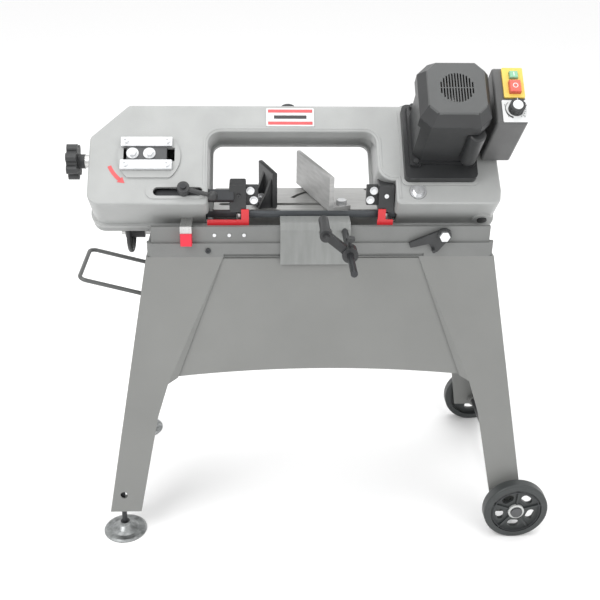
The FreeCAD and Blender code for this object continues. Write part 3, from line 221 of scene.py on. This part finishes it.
RED_RUBBER = surface("red_rubber", (0.66, 0.02, 0.045), 0.42, 0.0, 0.07, 30, 0.03, 700)
RED_GLOSS = surface("red_gloss", (0.68, 0.12, 0.09), 0.28, 0.0, 0.06, 60, 0.01, 600)
GREEN_GLOSS = surface("green_gloss", (0.22, 0.46, 0.30), 0.28, 0.0, 0.06, 60, 0.01, 600)
YELLOW_MOULD = surface("yellow_mould", (0.72, 0.52, 0.10), 0.36, 0.0, 0.05, 50, 0.03, 900)
PLATE_WHITE = surface("plate_white", (0.70, 0.71, 0.71), 0.32, 0.0, 0.04, 60, 0.01, 500)
PRINT_DARK = surface("print_dark", (0.03, 0.03, 0.03), 0.4, 0.0, 0.08, 60, 0.01, 500)
WHEEL_BLACK = surface("wheel_black", (0.032, 0.036, 0.036), 0.40, 0.0, 0.16, 30, 0.06, 700)
HUB_GREY = surface("hub_grey", (0.50, 0.51, 0.50), 0.35, 0.3, 0.08, 60, 0.02, 700)
COPPER = surface("winding", (0.45, 0.22, 0.10), 0.35, 0.8, 0.10, 60, 0.04, 400)

FINISH = {
    "leg_front_left": PAINT_SHEET, "leg_front_right": PAINT_SHEET, "leg_back_left": PAINT_SHEET,
    "leg_back_right": PAINT_SHEET, "stand_panels": PAINT_SHEET, "wheel_axle": SLIDE_STEEL,
    "pull_handle": HANDLE_GREY, "bed": PAINT_BED, "work_table": GROUND_IRON,
    "front_support": SUPPORT_IRON, "frame_fasteners": BRIGHT, "levelling_foot_front": GALVANISED,
    "levelling_foot_back": GALVANISED, "transport_wheel_front": WHEEL_BLACK,
    "transport_wheel_back": WHEEL_BLACK, "vise_carriage": BRIGHT, "vise_screw": MACHINED,
    "vise_handwheel": BLACK_CAST, "movable_jaw": BLACK_CAST, "fixed_jaw": JAW_IRON,
    "stop_rod": BLACK_OXIDE, "stop_arm": BLACK_CAST, "latch_lever": BLACK_CAST,
    "bow_casting": PAINT_CAST, "cover_left": PAINT_COVER, "cover_right": PAINT_COVER,
    "saw_blade": BLADE_STEEL, "tension_gibs": BRIGHT, "guide_head_right": BLACK_CAST,
    "guide_guard_right": RED_GUARD, "guide_guard_left": RED_GUARD, "motor_base": MOTOR_SHELL,
    "motor_body": MOTOR_SHELL, "motor_stator": COPPER, "motor_cover": MOTOR_END,
    "control_box": BOX_GREY, "switch_plate": YELLOW_MOULD, "dial_plate": PLATE_WHITE,
    "name_plate": PLATE_WHITE, "down_stop_bracket": MACHINED, "down_stop_bumper": RED_RUBBER,
    "case_knobs": BLACK_MOULD, "bow_fasteners": BRIGHT, "drive_wheel": GROUND_IRON,
    "drive_shaft": MACHINED, "idler_wheel": GROUND_IRON, "tension_block": SLIDE_STEEL,
    "tension_screw": MACHINED, "tension_knob": BLACK_MOULD, "guide_bar": BLACK_OXIDE,
    "guide_head_left": BLACK_CAST, "guide_lock_lever": BLACK_MOULD, "motor_rotor": MACHINED,
    "start_button": GREEN_GLOSS, "stop_button": RED_GLOSS, "speed_dial": BLACK_MOULD,
    "roller_left_front": MACHINED, "roller_left_back": MACHINED, "roller_right_front": MACHINED,
    "roller_right_back": MACHINED,
}


def finish_nodes():
    """Give every carried-over node its own finish."""
    for name, node in nodes.items():
        for slot in node.material_slots:
            slot.material = FINISH[name]


def second_finish(name, material, chosen):
    """Another finish on those faces of a node whose middle passes the test."""
    mesh = nodes[name].data
    mesh.materials.append(material)
    index = len(mesh.materials) - 1
    for polygon in mesh.polygons:
        if chosen(polygon.center):
            polygon.material_index = index


def in_bow(point):
    """A point of the machine in the bow's leaning frame."""
    return BOW_INVERSE @ point


SLIDE_FACE_C = 0.0662          # the tension slide's bolts are above this
MOTOR_FEET_C = 0.075           # the fasteners above this hold the motor
CROWN_TOP_C = 0.2375           # the motor cover's slanted sides are below this
HEAD_STEP_Y = 0.0142           # from the guide head's front to its step's face
HEAD_WIDTH = 0.031             # from the guide head's left side to the step
LOW_SCREW_Z = 0.58
FOOT_STEM_Z = 0.0208


def finish_details():
    """Second finishes: bolts on dark blocks, black screws, the motor's dark crown, foot stems."""
    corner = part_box("guide_head_left")[0]
    step_y = corner.y + HEAD_STEP_Y
    step_x = corner.x + HEAD_WIDTH
    second_finish("tension_block", BRIGHT, lambda p: in_bow(p).z > SLIDE_FACE_C)
    second_finish("guide_head_left", BRIGHT, lambda p: p.y < step_y and p.x > step_x)
    second_finish("bow_fasteners", BLACK_MOULD, lambda p: in_bow(p).z > MOTOR_FEET_C)
    second_finish("motor_cover", MOTOR_SHELL, lambda p: in_bow(p).z < CROWN_TOP_C)
    second_finish("frame_fasteners", BLACK_OXIDE, lambda p: p.z < LOW_SCREW_Z)
    for side in ("front", "back"):
        second_finish("levelling_foot_" + side, BLACK_OXIDE, lambda p: p.z > FOOT_STEM_Z)


# ---- mesh helpers --------------------------------------------------------------------------------
SMOOTH_BELOW = 35              # degrees; sharper edges than this stay crisp


def add_piece(name, work, material, body, place=Matrix.Identity(4), smooth=True, bevel=0.0):
    """Turn a bmesh into a piece that rides on a body."""
    bmesh.ops.recalc_face_normals(work, faces=work.faces)
    work.transform(place)
    mesh = bpy.data.meshes.new(name)
    work.to_mesh(mesh)
    work.free()
    mesh.materials.append(material)
    piece = bpy.data.objects.new(name, mesh)
    bpy.context.collection.objects.link(piece)
    if bevel:
        modifier = piece.modifiers.new("edges", "BEVEL")
        modifier.width = bevel
        modifier.segments = 3
        modifier.limit_method = "ANGLE"
    if smooth:
        for polygon in mesh.polygons:
            polygon.use_smooth = True
        mesh.set_sharp_from_angle(angle=math.radians(SMOOTH_BELOW))
    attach(piece, body)


def extrude_outline(work, points, low, high):
    """Closed prism over a planar outline given in a and b."""
    bottom = [work.verts.new((x, y, low)) for x, y in points]
    top = [work.verts.new((x, y, high)) for x, y in points]
    count = len(points)
    work.faces.new(list(reversed(bottom)))
    work.faces.new(top)
    for i in range(count):
        j = (i + 1) % count
        work.faces.new((bottom[i], bottom[j], top[j], top[i]))


def arc(centre, radius, first, last, steps):
    """Points along an arc; angles in degrees."""
    points = []
    for i in range(steps + 1):
        angle = math.radians(first + (last - first) * i / steps)
        points.append((centre[0] + radius * math.cos(angle), centre[1] + radius * math.sin(angle)))
    return points


def band(centre, inner, outer, first, last, steps):
    """Outline of a curved strip."""
    return arc(centre, outer, first, last, steps) + arc(centre, inner, last, first, steps)


# ---- cast rim round the throat -------------------------------------------------------------------
THROAT = [((-0.206, -0.090), 0.0), ((-0.206, 0.046), 0.024), ((0.101, 0.046), 0.022),
          ((0.101, -0.054), 0.030), ((0.133, -0.054), 0.0), ((0.133, -0.090), 0.0)]
# The bead's section as (distance outside the throat's edge, height above the face).
RIM_PROFILE = [(0.0042, -0.0006), (0.0052, 0.0010), (0.0088, 0.0010), (0.0100, -0.0006)]
MITRE_LIMIT = 0.4              # keeps a sharp corner's mitre short


def rounded_line(corners, steps=8):
    """Open line through corners, each rounded by its own radius."""
    line = []
    for index, (point, radius) in enumerate(corners):
        if not radius:
            line.append(Vector(point))
            continue
        here = Vector(point)
        before = (Vector(corners[index - 1][0]) - here).normalized()
        after = (Vector(corners[index + 1][0]) - here).normalized()
        half = before.angle(after) / 2
        centre = here + (before + after).normalized() * radius / math.sin(half)
        first = here + before * radius / math.tan(half) - centre
        last = here + after * radius / math.tan(half) - centre
        for i in range(steps + 1):
            spoke = first.lerp(last, i / steps).normalized() * radius
            line.append(centre + spoke)
    return line


def offset_line(line, distance):
    """The same line moved sideways, to its left, with mitred corners."""
    moved = []
    for i, point in enumerate(line):
        before = (point - line[i - 1]).normalized() if i else (line[1] - point).normalized()
        after = (line[i + 1] - point).normalized() if i + 1 < len(line) else before
        left = Vector((-before.y - after.y, before.x + after.x)).normalized()
        share = max(MITRE_LIMIT, left.dot(Vector((-before.y, before.x))))
        moved.append(point + left * distance / share)
    return moved


def throat_rim():
    """Raised bead that follows the edge of the throat on the casting's face."""
    line = rounded_line(THROAT)
    work = bmesh.new()
    rows = [offset_line(line, offset) for offset, height in RIM_PROFILE]
    verts = [[work.verts.new((p.x, p.y, FACE_C + height)) for p in row]
             for row, (offset, height) in zip(rows, RIM_PROFILE)]
    count = len(RIM_PROFILE)
    for k in range(count):
        low, high = verts[k], verts[(k + 1) % count]
        for i in range(len(line) - 1):
            work.faces.new((low[i], low[i + 1], high[i + 1], high[i]))
    work.faces.new([row[0] for row in verts])
    work.faces.new([row[-1] for row in reversed(verts)])
    add_piece("throat_rim", work, PAINT_CAST, "bow", BOW)


# ---- printed and moulded details on the bow ------------------------------------------------------
def polar(centre, radius, degrees):
    """Point at a radius and an angle round a centre."""
    return arc(centre, radius, degrees, degrees, 1)[0]


def rectangle(a0, b0, a1, b1):
    """Outline of a rectangle between two corners."""
    return [(a0, b0), (a1, b0), (a1, b1), (a0, b1)]


def top_of(node):
    """Highest c that a node of the bow reaches."""
    return max(in_bow(vertex.co).z for vertex in nodes[node].data.vertices)


def direction_arrow():
    """Curved red arrow that shows which way the blade wheel turns."""
    centre = (-0.312, 0.004)
    low, high = FACE_C + 0.0001, FACE_C + 0.0005
    work = bmesh.new()
    extrude_outline(work, band(centre, 0.0730, 0.0800, 203, 229, 14), low, high)
    head = [polar(centre, 0.0695, 228), polar(centre, 0.0835, 228), polar(centre, 0.0765, 237)]
    extrude_outline(work, head, low, high)
    add_piece("rotation_arrow", work, RED_PRINT, "bow", BOW)


PLATE_FACE = (0.062, 0.0626)   # c of the plate's face and of the top of its print
PLATE_SIDES = (-0.097, -0.015)


def blank_plate():
    """Red border bars, a dark band and rivets on the plain name plate."""
    low, high = PLATE_FACE
    left, right = PLATE_SIDES
    bars = bmesh.new()
    for bottom, top in ((0.059, 0.0655), (0.0845, 0.091)):
        extrude_outline(bars, rectangle(left, bottom, right, top), low, high)
    add_piece("plate_bars", bars, RED_PRINT, "bow", BOW, bevel=0.0002)
    middle = bmesh.new()
    extrude_outline(middle, rectangle(-0.086, 0.0715, -0.026, 0.0785), low, high)
    add_piece("plate_band", middle, PRINT_DARK, "bow", BOW, bevel=0.0002)
    rivets = bmesh.new()
    flatten = Matrix.Diagonal((1, 1, 0.5, 1))
    for a in (-0.0945, -0.0175):
        for b in (0.0685, 0.0815):
            bmesh.ops.create_uvsphere(rivets, u_segments=16, v_segments=8, radius=0.0016,
                                      matrix=Matrix.Translation((a, b, low)) @ flatten)
    add_piece("plate_rivets", rivets, BRIGHT, "bow", BOW)


DIAL_PRINT = (PANEL_C + 0.002, PANEL_C + 0.00225)   # c of the dial's plate and of its print
SCALE_RADIUS = 0.0185          # outside of the growing wedge
SCALE_FROM, SCALE_TO = 250, 130
WEDGE_STEPS = 24
WEDGE_THIN, WEDGE_GROWTH = 0.0005, 0.0025
TICKS = 9
TICK_RADIUS, TICK_LENGTH, TICK_HALF = 0.0150, 0.0022, 0.0003
NUMBERS = 5
NUMBER_RADIUS, NUMBER_SIZE = 0.0198, 0.005


def dial_number(index):
    """One raised figure of the dial's scale."""
    name = "dial_number_%d" % index
    angle = math.radians(225 - 67.5 * index)
    data = bpy.data.curves.new(name, "FONT")
    data.body = str(index + 1)
    data.size = NUMBER_SIZE
    data.extrude = 0.0001
    data.align_x = "CENTER"
    data.align_y = "CENTER"
    data.materials.append(PRINT_DARK)
    number = bpy.data.objects.new(name, data)
    spot = Vector((DIAL[0] + NUMBER_RADIUS * math.cos(angle),
                   DIAL[1] + NUMBER_RADIUS * math.sin(angle), DIAL_PRINT[1]))
    number.matrix_world = BOW @ Matrix.Translation(spot)
    bpy.context.collection.objects.link(number)
    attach(number, "bow")


def dial_scale():
    """Growing wedge, tick marks and figures round the speed dial."""
    low, high = DIAL_PRINT
    work = bmesh.new()
    outer = arc(DIAL, SCALE_RADIUS, SCALE_FROM, SCALE_TO, WEDGE_STEPS)
    inner = []
    for i in range(WEDGE_STEPS + 1):
        share = i / WEDGE_STEPS
        radius = SCALE_RADIUS - WEDGE_THIN - WEDGE_GROWTH * (1 - share)
        inner.append(polar(DIAL, radius, SCALE_FROM + (SCALE_TO - SCALE_FROM) * share))
    extrude_outline(work, outer + inner[::-1], low, high)
    for i in range(TICKS):
        angle = math.radians(60 - 15 * i)
        outward = Vector((math.cos(angle), math.sin(angle)))
        side = Vector((-math.sin(angle), math.cos(angle))) * TICK_HALF
        start = Vector(DIAL) + outward * TICK_RADIUS
        end = start + outward * TICK_LENGTH
        corners = (start + side, start - side, end - side, end + side)
        extrude_outline(work, [(p.x, p.y) for p in corners], low, high)
    add_piece("dial_scale", work, PRINT_DARK, "bow", BOW, smooth=False)
    for index in range(NUMBERS):
        dial_number(index)


def dial_cap():
    """Light cap with a pointer line on the speed dial."""
    top = top_of("speed_dial")
    cap = bmesh.new()
    rings = [(0.0088, 0.0), (0.0088, 0.0010), (0.0080, 0.0018), (0.0001, 0.0020)]
    lathe(cap, (DIAL[0], DIAL[1], top), rings, 40)
    add_piece("dial_cap", cap, PLATE_WHITE, "speed_dial", BOW)
    pointer = bmesh.new()
    outline = [(-0.0005, 0.0090), (0.0005, 0.0090), (0.0003, 0.0133), (-0.0003, 0.0133)]
    extrude_outline(pointer, [(DIAL[0] + a, DIAL[1] + b) for a, b in outline],
                    top - 0.0002, top + 0.0006)
    add_piece("dial_pointer", pointer, PLATE_WHITE, "speed_dial", BOW)


def lathe(work, centre, rings, steps):
    """Surface of revolution about c through (radius, height) pairs, closed at both ends."""
    rows = []
    for radius, height in rings:
        row = []
        for i in range(steps):
            angle = 2 * math.pi * i / steps
            row.append(work.verts.new((centre[0] + radius * math.cos(angle),
                                       centre[1] + radius * math.sin(angle), centre[2] + height)))
        rows.append(row)
    for low, high in zip(rows, rows[1:]):
        for i in range(steps):
            j = (i + 1) % steps
            work.faces.new((low[i], low[j], high[j], high[i]))
    work.faces.new(list(reversed(rows[0])))
    work.faces.new(rows[-1])


def switch_marks():
    """Raised bar on the start button and ring on the stop button."""
    rise = 0.0004
    bar = bmesh.new()
    top = top_of("start_button")
    half_a, half_b = 0.0007, 0.0035
    extrude_outline(bar, rectangle(START[0] - half_a, START[1] - half_b,
                                   START[0] + half_a, START[1] + half_b), top, top + rise)
    add_piece("start_mark", bar, PLATE_WHITE, "start_button", BOW)
    ring = bmesh.new()
    top = top_of("stop_button")
    for first, last in ((0, 180), (180, 360)):
        extrude_outline(ring, band(STOP, 0.0034, 0.0046, first, last, 18), top, top + rise)
    add_piece("stop_mark", ring, PLATE_WHITE, "stop_button", BOW)


def grille_bar():
    """Thin bar across the middle of the motor's grille."""
    half_a, half_b = 0.030, 0.0007
    work = bmesh.new()
    top = top_of("motor_cover")
    middle = in_bow(Vector(joints["motor_spin"]["pos_m"]))
    extrude_outline(work, rectangle(middle.x - half_a, middle.y - half_b,
                                    middle.x + half_a, middle.y + half_b),
                    top - 0.003, top - 0.0002)
    add_piece("grille_bar", work, MOTOR_END, "bow", BOW)


# ---- blade teeth ---------------------------------------------------------------------------------
TOOTH_PITCH = 0.0042
TOOTH_TIP_Z = 0.6221
TOOTH_ROOT_Z = 0.6240
TOOTH_HALF = 0.0003            # half the thickness
TEETH_REACH = 0.02             # how far the toothed run goes on inside each guide head


def blade_teeth():
    """Saw teeth along the straight cutting run, between the guides."""
    work = bmesh.new()
    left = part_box("guide_head_left")[1].x
    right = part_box("guide_head_right")[0].x
    near = joints["roller_right_front_spin"]["pos_m"]
    far = joints["roller_right_back_spin"]["pos_m"]
    y = (near[1] + far[1]) / 2
    x = left - TEETH_REACH
    while x < right + TEETH_REACH:
        outline = [(x, TOOTH_ROOT_Z), (x + TOOTH_PITCH * 0.85, TOOTH_ROOT_Z),
                   (x + TOOTH_PITCH * 0.2, TOOTH_TIP_Z), (x, TOOTH_TIP_Z + 0.0002)]
        front = [work.verts.new((px, y - TOOTH_HALF, pz)) for px, pz in outline]
        back = [work.verts.new((px, y + TOOTH_HALF, pz)) for px, pz in outline]
        work.faces.new(front)
        work.faces.new(list(reversed(back)))
        for i in range(4):
            j = (i + 1) % 4
            work.faces.new((front[j], front[i], back[i], back[j]))
        x += TOOTH_PITCH
    add_piece("blade_teeth", work, BLADE_STEEL, "bow", smooth=False)


# ---- stand details -------------------------------------------------------------------------------
# Both rings as (radius, height above the wheel's outer face).
BEAD_PROFILE = [(0.0475, -0.0005), (0.0475, 0.0006), (0.0455, 0.0006), (0.0455, -0.0005)]
HUB_PROFILE = [(0.0158, -0.004), (0.0158, 0.0004), (0.0146, 0.0012), (0.0118, 0.0012),
               (0.0114, -0.001)]


def wheel_rings():
    """A bead ring on the side of each transport wheel's tyre and a light ring on its hub."""
    for side, sign in (("front", -1), ("back", 1)):
        wheel = "transport_wheel_" + side
        centre = joints["transport_%s_spin" % side]["pos_m"]
        low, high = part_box(wheel)
        outer_y = low[1] if sign < 0 else high[1]
        turn = Matrix.Rotation(math.pi / 2 * -sign, 4, "X")
        place = Matrix.Translation((centre[0], outer_y, centre[2])) @ turn
        bead = bmesh.new()
        lathe_ring(bead, BEAD_PROFILE, 64)
        add_piece("tyre_bead_" + side, bead, BLACK_OXIDE, wheel, place)
        hub = bmesh.new()
        lathe_ring(hub, HUB_PROFILE, 48)
        add_piece("hub_ring_" + side, hub, HUB_GREY, wheel, place)


def lathe_ring(work, profile, steps):
    """Closed ring from a (radius, height) profile."""
    rows = []
    for i in range(steps):
        angle = 2 * math.pi * i / steps
        rows.append([work.verts.new((radius * math.cos(angle), radius * math.sin(angle), height))
                     for radius, height in profile])
    count = len(profile)
    for i in range(steps):
        now, after = rows[i], rows[(i + 1) % steps]
        for k in range(count):
            m = (k + 1) % count
            work.faces.new((now[k], now[m], after[m], after[k]))


make_camera()
make_stage()
finish_nodes()
finish_details()
throat_rim()
direction_arrow()
blank_plate()
dial_scale()
dial_cap()
switch_marks()
grille_bar()
blade_teeth()
wheel_rings()
